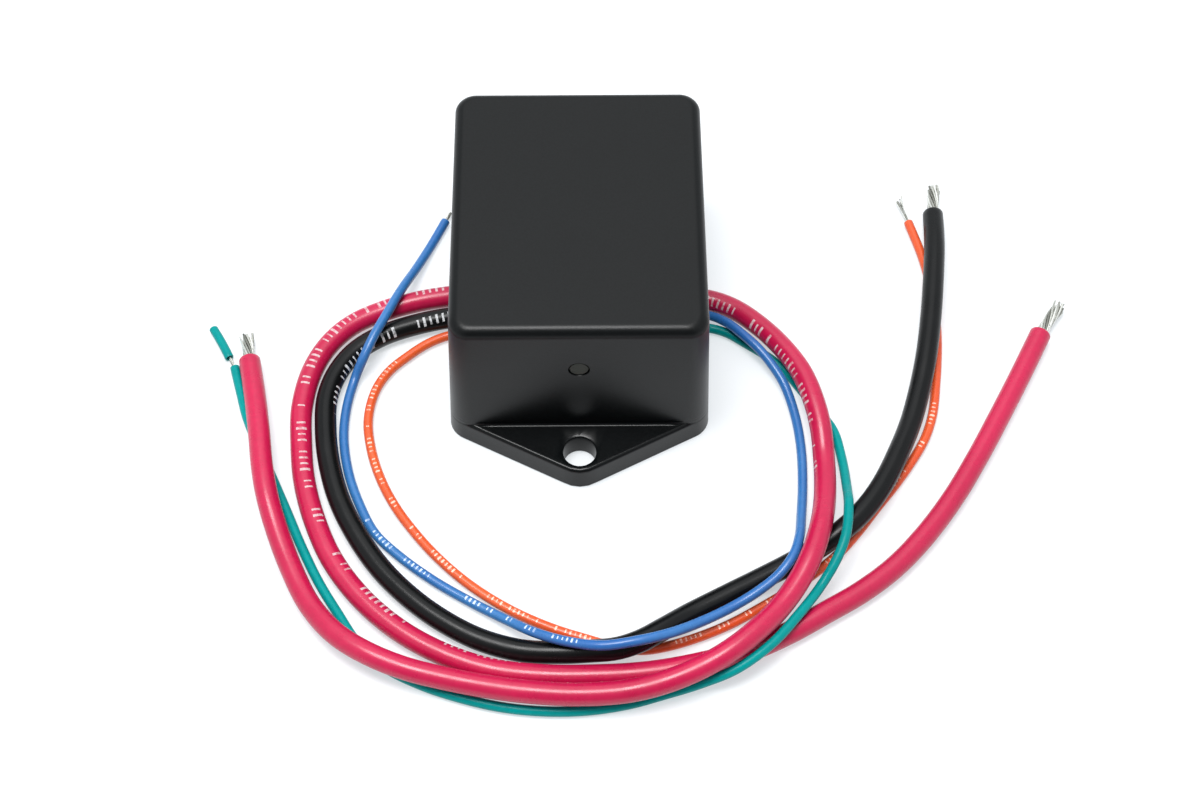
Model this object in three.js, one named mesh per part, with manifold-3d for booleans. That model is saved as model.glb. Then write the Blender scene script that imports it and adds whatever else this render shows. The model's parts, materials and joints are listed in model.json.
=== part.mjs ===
// Whole house surge protector: a potted module in a moulded box with two screw
// ears, and six hook-up leads that leave through the bottom rim of both sides.
// Millimetres, +Z up. The origin is the centre of the box footprint, on the
// mounting surface; -Y is the front ear, +X is to the right.
import * as THREE from 'three';
import { mergeVertices } from 'three/addons/utils/BufferGeometryUtils.js';
import Module from 'manifold-3d';

const wasm = await Module();
wasm.setup();

// Box
const BOX_X = 53.4;            // footprint width at the bottom rim
const BOX_Y = 63.4;            // footprint depth at the bottom rim
const BOX_H = 37.2;
const DRAFT = 0.0408;          // wall lean, mm inward per mm of height
const CORNER_R = 5.0;
const TOP_R = 2.2;             // round of the top edge, measured inwards
const TOP_RISE = 2.2;           // and measured down the wall
const WALL = 2.4;
const GAP = 0.3;               // air gap between neighbouring pieces
// Ears
const EAR_REACH = 11.2;        // beyond the bottom rim
const EAR_T = 5.9;
const EAR_TIP_R = 6.0;
const HOLE_D = 6.7;
const HOLE_OUT = 6.1;          // hole centre beyond the bottom rim
// Gate mark on the front wall
const MARK_D = 4.2;
const MARK_Z = 25.1;
const MARK_DEPTH = 0.25;
// Slots for the leads in the bottom rim of the side walls
const SLOT_H = 5.2;
const SLOT_L = [-8.0, 6.2];    // left wall, y from and to
const SLOT_R = [-6.6, 5.0];    // right wall, y from and to
const FILL_Z = 1.2;            // surface of the potting above the mounting plane
// Leads
const THICK_D = 4.5;
const THICK_CORE = 2.7;
const THIN_D = 2.0;
const THIN_CORE = 0.8;
// Circuit board
const BOARD = [42, 52, 1.6];
const BOARD_Z = 8.0;
const PART_Z = BOARD_Z + BOARD[2] + GAP;

const MATERIALS = {
  case_plastic: { color: 0x303334, roughness: 0.55, metalness: 0 },
  potting: { color: 0x1d1e20, roughness: 0.25, metalness: 0 },
  board: { color: 0x1f5b3a, roughness: 0.5, metalness: 0 },
  varistor_coat: { color: 0x2b56a8, roughness: 0.45, metalness: 0 },
  light_plastic: { color: 0xd9d6cc, roughness: 0.5, metalness: 0 },
  dark_plastic: { color: 0x26282a, roughness: 0.5, metalness: 0 },
  ceramic_body: { color: 0xe7e2d6, roughness: 0.4, metalness: 0 },
  ferrite: { color: 0x3b3d3c, roughness: 0.6, metalness: 0.1 },
  brass_tab: { color: 0xb8924a, roughness: 0.35, metalness: 1 },
  red_wire: { color: 0xcf1f45, roughness: 0.45, metalness: 0 },
  black_wire: { color: 0x1d1f20, roughness: 0.45, metalness: 0 },
  blue_wire: { color: 0x2257b4, roughness: 0.45, metalness: 0 },
  orange_wire: { color: 0xe8501f, roughness: 0.45, metalness: 0 },
  green_wire: { color: 0x07806f, roughness: 0.45, metalness: 0 },
  tinned_copper: { color: 0xb9babb, roughness: 0.35, metalness: 1 },
};

function material(slot) {
  return new THREE.MeshStandardMaterial({ name: slot, ...MATERIALS[slot] });
}

function toSolid(geometry) {
  const g = geometry.index ? geometry.toNonIndexed() : geometry.clone();
  g.deleteAttribute('normal');
  g.deleteAttribute('uv');
  const m = mergeVertices(g, 1e-4);
  const mesh = new wasm.Mesh({
    numProp: 3,
    vertProperties: new Float32Array(m.attributes.position.array),
    triVerts: new Uint32Array(m.index.array),
  });
  return new wasm.Manifold(mesh);
}

function fromSolid(solid) {
  const m = solid.getMesh();
  const g = new THREE.BufferGeometry();
  g.setAttribute('position', new THREE.BufferAttribute(m.vertProperties, 3));
  g.setIndex(new THREE.BufferAttribute(m.triVerts, 1));
  const flat = g.toNonIndexed();
  flat.computeVertexNormals();
  return flat;
}

function box(x, y, z, cx, cy, cz) {
  const g = new THREE.BoxGeometry(x, y, z);
  g.translate(cx, cy, cz);
  return g;
}

// Cylinder with its axis along 'x', 'y' or 'z'
function rod(d, length, axis, cx, cy, cz, sides = 24) {
  const g = new THREE.CylinderGeometry(d / 2, d / 2, length, sides);
  if (axis === 'x') g.rotateZ(Math.PI / 2);
  if (axis === 'z') g.rotateX(Math.PI / 2);
  g.translate(cx, cy, cz);
  return g;
}

// Rounded rectangle swept up through rings of {z, inset}
function loft(halfX, halfY, radius, rings, segments = 6) {
  const s = new THREE.Shape();
  s.absarc(halfX - radius, halfY - radius, radius, 0, Math.PI / 2, false);
  s.absarc(-halfX + radius, halfY - radius, radius, Math.PI / 2, Math.PI, false);
  s.absarc(-halfX + radius, -halfY + radius, radius, Math.PI, 1.5 * Math.PI, false);
  s.absarc(halfX - radius, -halfY + radius, radius, 1.5 * Math.PI, 2 * Math.PI, false);
  const n = rings.length - 1;
  const g = new THREE.ExtrudeGeometry(s, {
    depth: n, steps: n, bevelEnabled: false, curveSegments: segments,
  });
  const p = g.attributes.position;
  for (let i = 0; i < p.count; i += 1) {
    const ring = rings[Math.round(p.getZ(i))];
    p.setX(i, p.getX(i) * (halfX - ring.inset) / halfX);
    p.setY(i, p.getY(i) * (halfY - ring.inset) / halfY);
    p.setZ(i, ring.z);
  }
  return g;
}

function boxOuter() {
  const rings = [{ z: 0, inset: 0 }];
  const shoulder = BOX_H - TOP_RISE;
  for (let k = 0; k <= 4; k += 1) {
    const a = (k / 4) * Math.PI / 2;
    rings.push({
      z: shoulder + TOP_RISE * Math.sin(a),
      inset: DRAFT * shoulder + TOP_R * (1 - Math.cos(a)),
    });
  }
  return loft(BOX_X / 2, BOX_Y / 2, CORNER_R, rings, 8);
}

// Space inside the walls, from z0 up to z1, drawn in by an extra clearance
function boxInner(z0, z1, clearance) {
  const inset = WALL + clearance;
  const rings = [
    { z: z0, inset: DRAFT * z0 },
    { z: z1, inset: DRAFT * z1 },
  ];
  return loft(BOX_X / 2 - inset, BOX_Y / 2 - inset, CORNER_R - WALL, rings, 5);
}

// Outline of one ear: the corner arcs of the box joined to a round tip
function earShape(side) {
  const cx = BOX_X / 2 - CORNER_R;
  const cy = BOX_Y / 2 - CORNER_R;
  const tip = BOX_Y / 2 + EAR_REACH - EAR_TIP_R;
  const dx = cx;
  const dy = tip - cy;
  const span = Math.hypot(dx, dy);
  // direction of the outward normal of the slanted side
  const lean = Math.atan2(dx, dy) - Math.asin((EAR_TIP_R - CORNER_R) / span);
  const from = Math.PI / 2 - lean;
  const s = new THREE.Shape();
  const steps = 8;
  const arc = (x, y, r, a0, a1) => {
    for (let k = 0; k <= steps; k += 1) {
      const a = a0 + (a1 - a0) * k / steps;
      const px = x + r * Math.cos(a);
      const py = side * (y + r * Math.sin(a));
      if (s.curves.length === 0 && k === 0 && x === cx) s.moveTo(px, py);
      else s.lineTo(px, py);
    }
  };
  const slant = Math.PI / 2 - from;
  arc(cx, cy, CORNER_R - 0.02, 0, slant);
  arc(0, tip, EAR_TIP_R, slant, Math.PI - slant);
  arc(-cx, cy, CORNER_R - 0.02, Math.PI - slant, Math.PI);
  s.closePath();
  return s;
}

function ear(side) {
  const g = new THREE.ExtrudeGeometry(earShape(side), { depth: EAR_T, bevelEnabled: false });
  return toSolid(g);
}

function slot(side, range) {
  const cx = side * (BOX_X / 2 - 2);
  return toSolid(box(9, range[1] - range[0], SLOT_H + 2, cx, (range[0] + range[1]) / 2, SLOT_H / 2 - 1));
}

function housing() {
  let s = toSolid(boxOuter());
  for (const side of [-1, 1]) {
    s = s.add(ear(side));
  }
  s = s.subtract(toSolid(boxInner(-1, BOX_H - WALL, 0)));
  for (const side of [-1, 1]) {
    const y = side * (BOX_Y / 2 + HOLE_OUT);
    s = s.subtract(toSolid(rod(HOLE_D, EAR_T + 4, 'z', 0, y, EAR_T / 2, 40)));
  }
  s = s.subtract(slot(-1, SLOT_L));
  s = s.subtract(slot(1, SLOT_R));
  const wallY = -(BOX_Y / 2 - DRAFT * MARK_Z);
  const mark = rod(MARK_D, 4, 'y', 0, wallY - 2 + MARK_DEPTH, MARK_Z, 28);
  return s.subtract(toSolid(mark));
}

// Lead routes, from the inner end to the cut end
const RED_A = [
  [-18.5, 3.2, 3], [-23, 3.2, 2.5], [-28, 2.9, 2.3], [-35, 1.5, 2.3], [-42, -0.9, 2.3],
  [-48, -4.2, 2.3], [-52.7, -9.2, 2.3], [-55.9, -16, 2.3], [-57.4, -25, 2.3],
  [-57, -33, 2.3], [-55.8, -42, 2.3], [-53.2, -51, 2.3], [-48.9, -60.5, 2.3],
  [-42.6, -69, 2.3], [-35, -75.8, 2.3], [-26.5, -80.8, 2.3], [-17, -84.2, 2.3],
  [-7, -85.5, 2.3], [3, -85.6, 2.3], [13, -85, 2.3], [23, -83.2, 2.3], [32, -80.6, 2.3],
  [40, -77, 2.3], [48, -72.4, 2.3], [55, -68.2, 2.3], [62, -62.8, 2.3], [68.5, -56, 2.3],
  [75, -47.5, 2.3], [81, -38, 2.3], [87, -27.5, 2.3], [92.5, -17.5, 2.3], [97.8, -7.5, 2.3],
];
const RED_B = [
  [18.5, 1.9, 3], [23, 1.9, 2.6], [28, 1.5, 2.3], [33, -0.9, 2.5], [38, -5.6, 3.2],
  [42.5, -11.7, 4.2], [46, -18.1, 4.8], [48.1, -24.8, 4.9], [49.3, -31.2, 4.2],
  [49.7, -38.3, 2.8], [49, -48.2, 5], [47.2, -57, 8.1], [45, -63.3, 8.5],
  [42.1, -68.7, 7.8], [38.1, -74.1, 7.3], [33.7, -78.8, 7.9], [28.6, -82.9, 7.8],
  [22.8, -86.1, 7], [16, -88.6, 6], [9, -90.1, 5.3], [0, -90.6, 5], [-9, -90, 4.8],
  [-17.5, -88.7, 4.6], [-26, -86.8, 4.4], [-34, -84.6, 4.6], [-41, -81.6, 4.9],
  [-47.2, -77.2, 4.2], [-52.8, -70.2, 2.6], [-57.2, -61.6, 2.5], [-60.4, -53.7, 3.4],
  [-62.6, -46.9, 4.6], [-64.1, -40.2, 5], [-65.3, -32.5, 4.8], [-66.9, -23.8, 3.6],
  [-69.2, -13, 2.3],
];
const BLACK = [
  [-18.5, -2.4, 3], [-23, -2.4, 2.5], [-28, -2.7, 2.3], [-35, -4.4, 2.3], [-41.5, -7, 2.3],
  [-46.8, -10.8, 2.3], [-50.4, -16, 2.3], [-52.3, -22.5, 2.3], [-52.2, -30, 2.3],
  [-51, -38, 2.3], [-48.5, -46.5, 2.3], [-44.6, -54.5, 2.3], [-39.6, -62, 2.3],
  [-33.8, -68.2, 2.3], [-27, -73.6, 2.3], [-19.5, -77.8, 2.3], [-11.5, -80.2, 2.3],
  [-4, -80.7, 2.4], [2, -80.9, 3.4], [7, -81, 4.7], [11.5, -79.5, 4.8], [16, -76.6, 4],
  [21, -73, 2.6], [28, -69.1, 2.3], [35, -65.4, 2.3], [42, -61.7, 2.6], [48.2, -58, 3.2],
  [53, -54.7, 4.4], [57, -50.7, 4.7], [61, -45, 4.7], [65.1, -36.9, 4.2], [68, -30.1, 3.6],
  [70.5, -22.4, 3.8], [72.6, -14.3, 4.4], [74.3, -5.5, 4.8], [75.8, 4.4, 4.9],
  [77.2, 14.9, 4], [78, 24.3, 2.3],
];
const BLUE = [
  [18.5, -1.8, 2.6], [23, -1.8, 1.8], [27.5, -2, 1.8], [31.2, -4.7, 3.1], [34.5, -8.3, 3.8],
  [37.5, -11.7, 3.8], [40.2, -15.2, 3], [42.7, -19.6, 2], [44.7, -27.1, 1.1],
  [45.4, -35, 1.1], [45.2, -43, 1.1], [44.3, -51.1, 2.9], [43.2, -57.9, 5.8],
  [41.5, -62.7, 7], [38.6, -66.3, 6.3], [34.6, -69.4, 5.6], [29.6, -72.4, 5],
  [23.5, -75.8, 5.6], [17.5, -79, 7.4], [11, -81.2, 8.6], [4, -81.9, 8], [-2.5, -80.3, 6.4],
  [-8.5, -77.8, 5], [-15, -73.2, 2], [-21.5, -69.2, 1.2], [-29, -64.4, 1.1],
  [-36, -58.9, 1.1], [-41, -53.8, 1.1], [-44.3, -47.5, 1.1], [-47, -40, 1.1],
  [-48.5, -31.5, 1.1], [-48.3, -24, 1.1], [-46.9, -17.4, 1.7], [-45, -14, 4.6],
  [-43, -9.8, 6.2], [-40.6, -4.6, 6.5], [-37.8, 2.4, 5.6], [-35, 10.3, 2.6],
  [-32.2, 17.3, 1.2], [-29.3, 24, 1.1],
];
const ORANGE = [
  [-18.5, -6.1, 2.6], [-23, -6.1, 1.6], [-27.5, -6.3, 1.1], [-31.8, -8.2, 1.1],
  [-36.2, -11.6, 1.1], [-40, -15.4, 1.1], [-42.5, -20, 1.1], [-43.7, -27, 1.1],
  [-42.7, -34.4, 1.1], [-40.5, -41.2, 1.1], [-37.4, -47.4, 1.1], [-33.6, -53, 1.1],
  [-29, -58.6, 1.1], [-23.5, -64, 1.1], [-17.5, -68.6, 1.1], [-11.5, -72.2, 1.1],
  [-5, -75.2, 1.1], [1, -77.3, 1.1], [7, -79.1, 1.1], [12, -79.7, 1.1], [17, -78.9, 1.1],
  [23, -77, 1.1], [29, -74.4, 1.1], [35, -71, 1.1], [41, -67.2, 1.1], [46, -63.6, 1.1],
  [51.2, -59.2, 1.1], [55.6, -54.2, 1.1], [59.6, -49, 1.1], [64, -43.4, 1.1],
  [67.8, -38, 1.1], [71, -32.6, 1.1], [73.2, -26.6, 1.1], [74.6, -19, 1.1],
  [75.8, -10, 1.1], [76.2, -3, 1.1], [75.8, 6, 1.1], [74.8, 13.6, 1.1], [72.6, 23, 1.1],
];
const GREEN = [
  [18.5, -4.8, 2.6], [23, -4.8, 1.6], [27.5, -4.8, 1.1], [31.2, -6, 1.1], [35, -8.6, 1.1],
  [39, -11.6, 1.1], [42.6, -15, 1.1], [46, -20, 1.1], [49.4, -25.6, 1.1],
  [52.3, -30.5, 1.1], [53.5, -37.1, 1.4], [53.6, -45.3, 4.4], [53.1, -52.4, 8.2],
  [52, -58.9, 8.6], [50, -63.5, 7.2], [46.7, -68.4, 5.2], [42, -74.7, 5.9],
  [36.6, -80.7, 5.9], [29.8, -85.4, 4.8], [23, -87.5, 2.8], [16, -89.1, 1.3],
  [9, -91, 1.1], [1, -92.2, 1.1], [-7, -92.3, 1.1], [-15, -91.4, 1.1], [-23, -89.4, 1.1],
  [-31, -86.5, 1.1], [-38.2, -82.6, 1.1], [-43.2, -77.8, 1.1], [-47.4, -71.4, 1.1],
  [-51.6, -64.5, 1.1], [-55.6, -56.4, 1.1], [-58.7, -49.3, 1.1], [-61.6, -42.8, 1.1],
  [-65.4, -34.4, 1.1], [-68.8, -26.4, 1.1], [-70.4, -21, 1.1], [-72.4, -14, 1.1],
];

const LEADS = [
  { name: 'red_lead_a', slot: 'red_wire', d: THICK_D, route: RED_A, tip: [103.4, 0.4, 1.6] },
  { name: 'red_lead_b', slot: 'red_wire', d: THICK_D, route: RED_B, tip: [-70.3, -6.4, 1.6] },
  { name: 'black_lead', slot: 'black_wire', d: THICK_D, route: BLACK, tip: [79.2, 32.4, 1.6] },
  { name: 'blue_lead', slot: 'blue_wire', d: THIN_D, route: BLUE, tip: [-28.2, 26.6, 0.8] },
  { name: 'orange_lead', slot: 'orange_wire', d: THIN_D, route: ORANGE, tip: [70.6, 30.2, 0.6] },
  { name: 'green_lead', slot: 'green_wire', d: THIN_D, route: GREEN, tip: [-74.6, -10.1, 1.1] },
];
// Length of insulation slipped along the bare end of the green lead
const SLUG = { from: [-73.7, -11.7, 1.1], to: [-77.8, -4.2, 1.1], d: 1.9, bore: 1.4 };

function vec(p) {
  return new THREE.Vector3(p[0], p[1], p[2]);
}

// A smooth curve through the route that never dips into the surface below it
class LeadCurve extends THREE.Curve {
  constructor(route, radius) {
    super();
    this.spline = new THREE.CatmullRomCurve3(route.map(vec), false, 'centripetal');
    this.low = radius + 0.03;
  }

  getPoint(t) {
    const p = this.spline.getPoint(t);
    p.z = Math.max(p.z, this.low);
    return p;
  }
}

function tube(route, d, steps, sides) {
  const s = new THREE.Shape();
  for (let k = 0; k < sides; k += 1) {
    const a = 2 * Math.PI * (k + 0.5) / sides;
    const x = d / 2 * Math.cos(a);
    const y = d / 2 * Math.sin(a);
    if (k === 0) s.moveTo(x, y);
    else s.lineTo(x, y);
  }
  s.closePath();
  return new THREE.ExtrudeGeometry(s, {
    steps, bevelEnabled: false, extrudePath: new LeadCurve(route, d / 2),
  });
}

// Cylinder between two points
function stick(a, b, d, sides) {
  const from = vec(a);
  const to = vec(b);
  const along = to.clone().sub(from);
  const g = new THREE.CylinderGeometry(d / 2, d / 2, along.length(), sides);
  const up = new THREE.Vector3(0, 1, 0);
  g.applyQuaternion(new THREE.Quaternion().setFromUnitVectors(up, along.clone().normalize()));
  const mid = from.add(to).multiplyScalar(0.5);
  g.translate(mid.x, mid.y, mid.z);
  return g;
}

function endDirection(route) {
  const n = route.length;
  return vec(route[n - 1]).sub(vec(route[n - 2])).normalize();
}

function pointAlong(origin, direction, distance) {
  return vec(origin).addScaledVector(direction, distance).toArray();
}

function isThick(lead) {
  return lead.d > 3;
}

// Insulation of one lead with a short bore in its cut end
function insulation(lead) {
  const steps = isThick(lead) ? 48 : 80;
  const sides = isThick(lead) ? 10 : 8;
  const body = toSolid(tube(lead.route, lead.d, steps, sides));
  const end = lead.route[lead.route.length - 1];
  const dir = endDirection(lead.route);
  const core = isThick(lead) ? THICK_CORE : THIN_CORE;
  const bore = stick(pointAlong(end, dir, -2.5), pointAlong(end, dir, 2), core + 2 * GAP, sides);
  return body.subtract(toSolid(bore));
}

// Bare strands of one lead as one rod that starts inside the bore
function bareEnd(lead) {
  const end = lead.route[lead.route.length - 1];
  const dir = endDirection(lead.route);
  const core = isThick(lead) ? THICK_CORE : THIN_CORE;
  const inside = pointAlong(end, dir, -2.1);
  const lip = pointAlong(end, dir, isThick(lead) ? 0.8 : 0.3);
  const sides = isThick(lead) ? 10 : 8;
  return tube([inside, lip, lead.tip], core, 6, sides);
}

function slippedSlug() {
  const dir = vec(SLUG.to).sub(vec(SLUG.from)).normalize();
  const body = toSolid(stick(SLUG.from, SLUG.to, SLUG.d, 8));
  const bore = stick(pointAlong(SLUG.from, dir, -1), pointAlong(SLUG.from, dir, 2.5), SLUG.bore, 8);
  return body.subtract(toSolid(bore));
}

// Solder tab from the inner end of a lead up to the board
function leadTab(lead, grow = 0) {
  const side = Math.sign(lead.route[0][0]);
  const [x, y, z] = lead.route[0];
  const w = (isThick(lead) ? 3 : 1.4) + 2 * grow;
  const cx = x - side * (GAP + 0.6);
  const top = BOARD_Z - GAP + grow;
  const bottom = z - 0.9 - grow;
  return box(1.2 + 2 * grow, w, top - bottom, cx, y, (top + bottom) / 2);
}

// Board components: each takes a growth so the potting can be cut round it
const VARISTOR_X = [-15.5, -8.5, -1.5, 5.5];
const FUSE_X = [-15.5, -8.5, -1.5];
const RESISTOR_X = [-18.3, -15.6, -12.9];

function board(grow = 0) {
  return box(BOARD[0] + 2 * grow, BOARD[1] + 2 * grow, BOARD[2] + 2 * grow,
    0, 0, BOARD_Z + BOARD[2] / 2);
}

function varistor(x, grow = 0) {
  const y = 11.5;
  const z = PART_Z + 12;
  let s = toSolid(rod(21 + 2 * grow, 4.6 + 2 * grow, 'x', x, y, z, 28));
  for (const dy of [-4, 4]) {
    const leg = rod(1 + 2 * grow, 8, 'z', x + (dy > 0 ? 1 : -1), y + dy, PART_Z + 4 - grow, 8);
    s = s.add(toSolid(leg));
  }
  return s;
}

function fuse(x, grow = 0) {
  const z = PART_Z + 2.4;
  let s = toSolid(rod(4 + 2 * grow, 9 + 2 * grow, 'y', x, -6.5, z, 18));
  s = s.add(toSolid(rod(0.9 + 2 * grow, 12 + 2 * grow, 'y', x, -6.5, z, 8)));
  return s;
}

function gasTube(grow = 0) {
  let s = toSolid(rod(8 + 2 * grow, 4 + 2 * grow, 'x', 5.5, -6.5, PART_Z + 4.4, 24));
  s = s.add(toSolid(rod(7 + 2 * grow, 6 + 2 * grow, 'x', 5.5, -6.5, PART_Z + 4.4, 24)));
  return s;
}

function filmCapacitor(y, grow = 0) {
  return toSolid(box(7.6 + 2 * grow, 17 + 2 * grow, 14 + 2 * grow, 15, y, PART_Z + 7));
}

function relay(grow = 0) {
  return toSolid(box(14 + 2 * grow, 7.4 + 2 * grow, 10 + 2 * grow, -4.4, -19.5, PART_Z + 5));
}

function choke(grow = 0) {
  const g = new THREE.TorusGeometry(3.4, 1.7 + grow, 12, 24);
  g.translate(8.4, -20, PART_Z + 1.7);
  return toSolid(g);
}

function bridge(grow = 0) {
  return toSolid(box(5 + 2 * grow, 5 + 2 * grow, 2.6 + 2 * grow, 17.2, -22, PART_Z + 1.3));
}

function resistor(x, grow = 0) {
  let s = toSolid(rod(2.3 + 2 * grow, 6 + 2 * grow, 'y', x, -19.5, PART_Z + 1.3, 14));
  s = s.add(toSolid(rod(0.7 + 2 * grow, 9 + 2 * grow, 'y', x, -19.5, PART_Z + 1.3, 6)));
  return s;
}

// Everything buried in the potting, grown by the air gap
function buried() {
  let s = toSolid(board(GAP));
  for (const x of VARISTOR_X) s = s.add(varistor(x, GAP));
  for (const x of FUSE_X) s = s.add(fuse(x, GAP));
  for (const x of RESISTOR_X) s = s.add(resistor(x, GAP));
  s = s.add(gasTube(GAP)).add(filmCapacitor(12.5, GAP)).add(filmCapacitor(-6.6, GAP));
  s = s.add(relay(GAP)).add(choke(GAP)).add(bridge(GAP));
  // the component space opens onto the board space
  s = s.add(toSolid(box(38, 48, 1, 0, 0, PART_Z - 0.3)));
  for (const lead of LEADS) {
    s = s.add(toSolid(leadTab(lead, GAP)));
    s = s.add(toSolid(tube(lead.route.slice(0, 6), lead.d + 2 * GAP, 16, 12)));
    const [x, y, z] = lead.route[0];
    const back = Math.sign(x) * -1.2;
    s = s.add(toSolid(stick([x, y, z], [x + back, y, z], lead.d + 2 * GAP, 12)));
  }
  return s;
}

function potting() {
  let s = toSolid(boxInner(FILL_Z, BOX_H - WALL - GAP, GAP));
  for (const [side, range] of [[-1, SLOT_L], [1, SLOT_R]]) {
    const y0 = range[0] + GAP;
    const y1 = range[1] - GAP;
    const x = side * 24.1;
    const plug = box(4, y1 - y0, SLOT_H - GAP - FILL_Z, x, (y0 + y1) / 2, (SLOT_H - GAP + FILL_Z) / 2);
    s = s.add(toSolid(plug));
  }
  return s.subtract(buried());
}

function assemble() {
  const group = new THREE.Group();
  group.name = 'whole_house_surge_protector';
  const put = (name, geometry, slotName) => {
    const mesh = new THREE.Mesh(geometry, material(slotName));
    mesh.name = name;
    group.add(mesh);
  };
  put('housing', fromSolid(housing()), 'case_plastic');
  put('potting_compound', fromSolid(potting()), 'potting');
  put('circuit_board', board(), 'board');
  VARISTOR_X.forEach((x, i) => put(`varistor_${i + 1}`, fromSolid(varistor(x)), 'varistor_coat'));
  FUSE_X.forEach((x, i) => put(`thermal_fuse_${i + 1}`, fromSolid(fuse(x)), 'light_plastic'));
  RESISTOR_X.forEach((x, i) => put(`resistor_${i + 1}`, fromSolid(resistor(x)), 'ceramic_body'));
  put('gas_discharge_tube', fromSolid(gasTube()), 'ceramic_body');
  put('film_capacitor_1', fromSolid(filmCapacitor(12.5)), 'light_plastic');
  put('film_capacitor_2', fromSolid(filmCapacitor(-6.6)), 'light_plastic');
  put('status_relay', fromSolid(relay()), 'dark_plastic');
  put('filter_choke', fromSolid(choke()), 'ferrite');
  put('bridge_rectifier', fromSolid(bridge()), 'dark_plastic');
  for (const lead of LEADS) {
    put(lead.name, fromSolid(insulation(lead)), lead.slot);
    put(`${lead.name}_strands`, bareEnd(lead), 'tinned_copper');
    put(`${lead.name}_tab`, leadTab(lead), 'brass_tab');
  }
  put('green_insulation_slug', fromSolid(slippedSlug()), 'green_wire');
  return group;
}

export default assemble();
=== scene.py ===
"""Whole house surge protector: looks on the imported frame. Metres, the CAD's own frame."""
import bpy
import bmesh
import json
import math
import random
from mathutils import Matrix, Vector


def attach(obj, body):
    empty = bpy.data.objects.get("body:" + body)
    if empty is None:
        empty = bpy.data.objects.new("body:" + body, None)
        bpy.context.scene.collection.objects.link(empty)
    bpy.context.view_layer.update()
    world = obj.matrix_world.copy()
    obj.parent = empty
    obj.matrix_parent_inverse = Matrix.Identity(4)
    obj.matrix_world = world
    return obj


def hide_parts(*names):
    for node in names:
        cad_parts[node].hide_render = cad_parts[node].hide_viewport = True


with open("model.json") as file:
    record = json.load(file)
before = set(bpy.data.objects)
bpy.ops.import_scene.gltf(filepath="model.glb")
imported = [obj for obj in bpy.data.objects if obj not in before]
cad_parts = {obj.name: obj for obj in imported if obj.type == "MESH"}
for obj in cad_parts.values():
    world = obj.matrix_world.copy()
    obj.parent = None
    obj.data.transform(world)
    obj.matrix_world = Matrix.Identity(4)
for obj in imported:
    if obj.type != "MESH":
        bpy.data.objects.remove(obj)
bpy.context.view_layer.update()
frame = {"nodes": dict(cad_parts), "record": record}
MM = 0.001
SCENE = bpy.context.scene

# ---------------------------------------------------------------- camera
# Place and aim, given in millimetres; the lens is for a sensor 36 mm wide
CAM_AT = Vector((0.98, -245.4, 357.7)) * MM
CAM_AIM = Vector((4.27, -22.0, 0.0)) * MM
CAM_ROLL = math.radians(0.36)
CAM_LENS = 60.6


def make_camera():
    """The camera, rolled a little about its own view."""
    data = bpy.data.cameras.new("camera")
    data.lens = CAM_LENS
    data.sensor_width = 36.0
    data.sensor_fit = "HORIZONTAL"
    data.clip_start, data.clip_end = 0.01, 20.0
    cam = bpy.data.objects.new("camera", data)
    SCENE.collection.objects.link(cam)
    look = (CAM_AIM - CAM_AT).normalized()
    right = look.cross(Vector((0, 0, 1))).normalized()
    up = right.cross(look)
    r = right * math.cos(CAM_ROLL) + up * math.sin(CAM_ROLL)
    u = up * math.cos(CAM_ROLL) - right * math.sin(CAM_ROLL)
    m = Matrix((r, u, -look)).transposed().to_4x4()
    m.translation = CAM_AT
    cam.matrix_world = m
    SCENE.camera = cam


make_camera()

# ---------------------------------------------------------------- sizes, in millimetres
BOX_X, BOX_Y, BOX_H = 53.4, 63.4, 37.2
# DRAFT is how far a wall leans in for each millimetre of height
DRAFT, CORNER_R, WALL = 0.0408, 5.0, 2.4
TOP_R, TOP_RISE = 2.2, 2.2
# A ring of points this close beside a rounding keeps the flat face next to it flat in shading
SUPPORT = 0.2
EAR_REACH, EAR_T, EAR_TIP_R = 11.2, 5.9, 6.0
# Roundings of the ear: its top edge, and the inside corner where it meets the wall
EAR_EDGE_R, EAR_ROOT_R = 0.7, 0.55
# How far before the centre of a corner rounding the ear starts to stand out
EAR_START = 1.5
HOLE_D, HOLE_OUT = 6.7, 6.1
MARK_D, MARK_Z, MARK_DEPTH = 4.2, 25.1, 0.25
MARK_PLACE = (0, -(BOX_Y / 2 - DRAFT * MARK_Z) * MM, MARK_Z * MM)
SLOT_H, SLOT_L, SLOT_R = 5.2, (-8.0, 6.2), (-6.6, 5.0)
SLOT_CORNER_R = 1.2
THICK_D, THICK_CORE = 4.5, 2.7
THIN_D, THIN_CORE = 2.0, 0.8

# ---------------------------------------------------------------- lead routes
# Points in millimetres from inside the box to the cut end of the insulation
RED_A = [
    (-18.5, 3.2, 3), (-23, 3.2, 2.5), (-28, 2.9, 2.3), (-35, 1.5, 2.3), (-42, -0.9, 2.3),
    (-48, -4.2, 2.3), (-52.7, -9.2, 2.3), (-55.9, -16, 2.3), (-57.4, -25, 2.3),
    (-57, -33, 2.3), (-55.8, -42, 2.3), (-53.2, -51, 2.3), (-48.9, -60.5, 2.3),
    (-42.6, -69, 2.3), (-35, -75.8, 2.3), (-26.5, -80.8, 2.3), (-17, -84.2, 2.3),
    (-7, -85.5, 2.3), (3, -85.6, 2.3), (13, -85, 2.3), (23, -83.2, 2.3), (32, -80.6, 2.3),
    (40, -77, 2.3), (48, -72.4, 2.3), (55, -68.2, 2.3), (62, -62.8, 2.3), (68.5, -56, 2.3),
    (75, -47.5, 2.3), (81, -38, 2.3), (87, -27.5, 2.3), (92.5, -17.5, 2.3), (97.8, -7.5, 2.3),
]
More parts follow.
